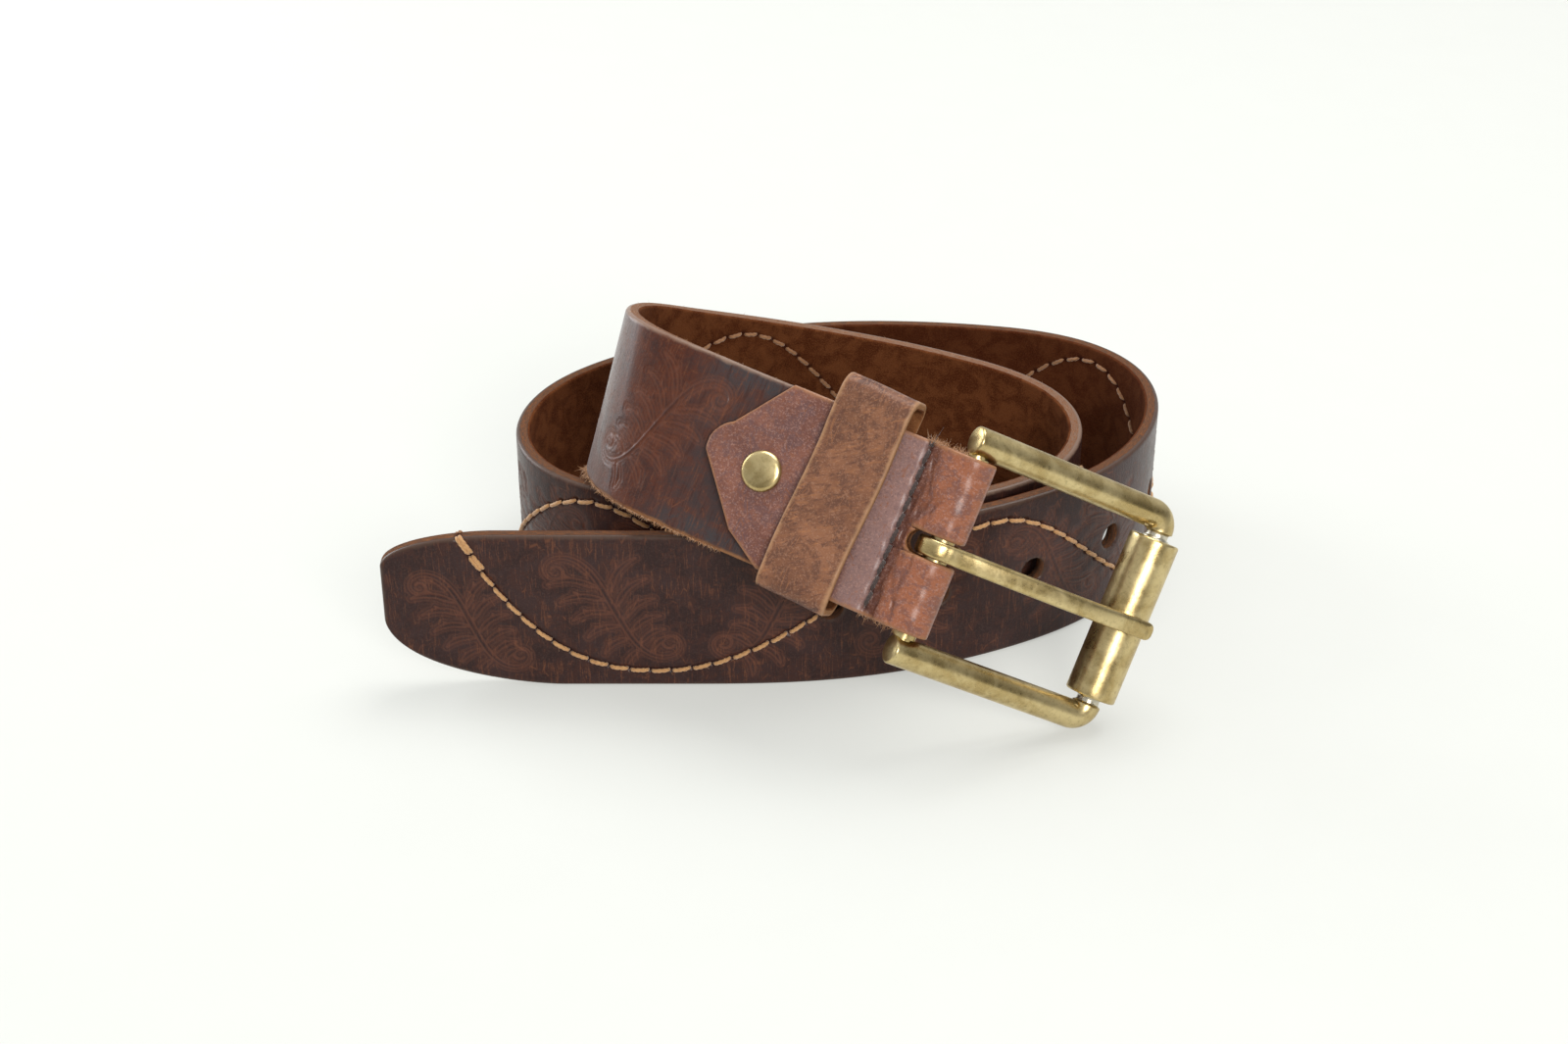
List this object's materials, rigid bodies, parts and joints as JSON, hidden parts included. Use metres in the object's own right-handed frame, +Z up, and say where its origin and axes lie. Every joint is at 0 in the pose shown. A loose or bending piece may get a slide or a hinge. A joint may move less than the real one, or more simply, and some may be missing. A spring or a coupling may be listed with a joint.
{
  "type": "leather belt with roller buckle",
  "caption": "Leather dress belt with a wave-stitched strap, riveted chape, keeper and antique-brass roller buckle, coiled and standing on its edge.",
  "frame": {"origin": "on the surface the coil stands on, below the middle of the bounding box", "axes": "+X to the right along the coil's longest side, seen from the front; -Y towards the front, where the buckle hangs; +Z up, across the strap"},
  "size_m": [0.1763, 0.1387, 0.077],
  "materials": {
    "strap_leather": "full-grain, dark chocolate brown, waxed, worn to red-brown at the bends; warm brown suede on the flesh side",
    "chape_leather": "full-grain, reddish brown, creased at the fold",
    "keeper_leather": "full-grain, lighter brown with a mottled waxy finish",
    "thread": "thick waxed tan thread",
    "seam_thread": "fine waxed thread, dark brown",
    "brass": "antique brass, satin with a mottled brown patina"
  },
  "bodies": {
    "belt": {"strap": "strap_leather", "wave_thread_front": "thread", "wave_thread_back": "thread", "chape": "chape_leather", "chape_seam_front": "seam_thread", "chape_seam_back": "seam_thread", "rivet_cap": "brass", "rivet_post": "brass"},
    "keeper_loop": {"keeper": "keeper_leather", "keeper_seam": "seam_thread"},
    "buckle": {"buckle_frame": "brass", "heel_bar": "brass"},
    "prong_tongue": {"prong": "brass"},
    "roller_tube": {"roller": "brass"}
  },
  "joints": [
    {"name": "keeper_slide", "type": "slide", "parent": "belt", "child": "keeper_loop", "axis": [0.8936, -0.3978, -0.2079], "range_m": [-0.0035, 0.004]},
    {"name": "buckle_hinge", "type": "hinge", "parent": "belt", "child": "buckle", "pos_m": [0.03093, -0.05625, 0.04523], "axis": [-0.3766, -0.4124, -0.8295], "range_deg": [0, 60]},
    {"name": "prong_hinge", "type": "hinge", "parent": "buckle", "child": "prong_tongue", "pos_m": [0.03093, -0.05625, 0.04523], "axis": [-0.3766, -0.4124, -0.8295], "range_deg": [0, 70]},
    {"name": "roller_spin", "type": "hinge", "parent": "buckle", "child": "roller_tube", "pos_m": [0.07109, -0.04727, 0.02253], "axis": [0.3766, 0.4124, 0.8295], "continuous": true}
  ]
}
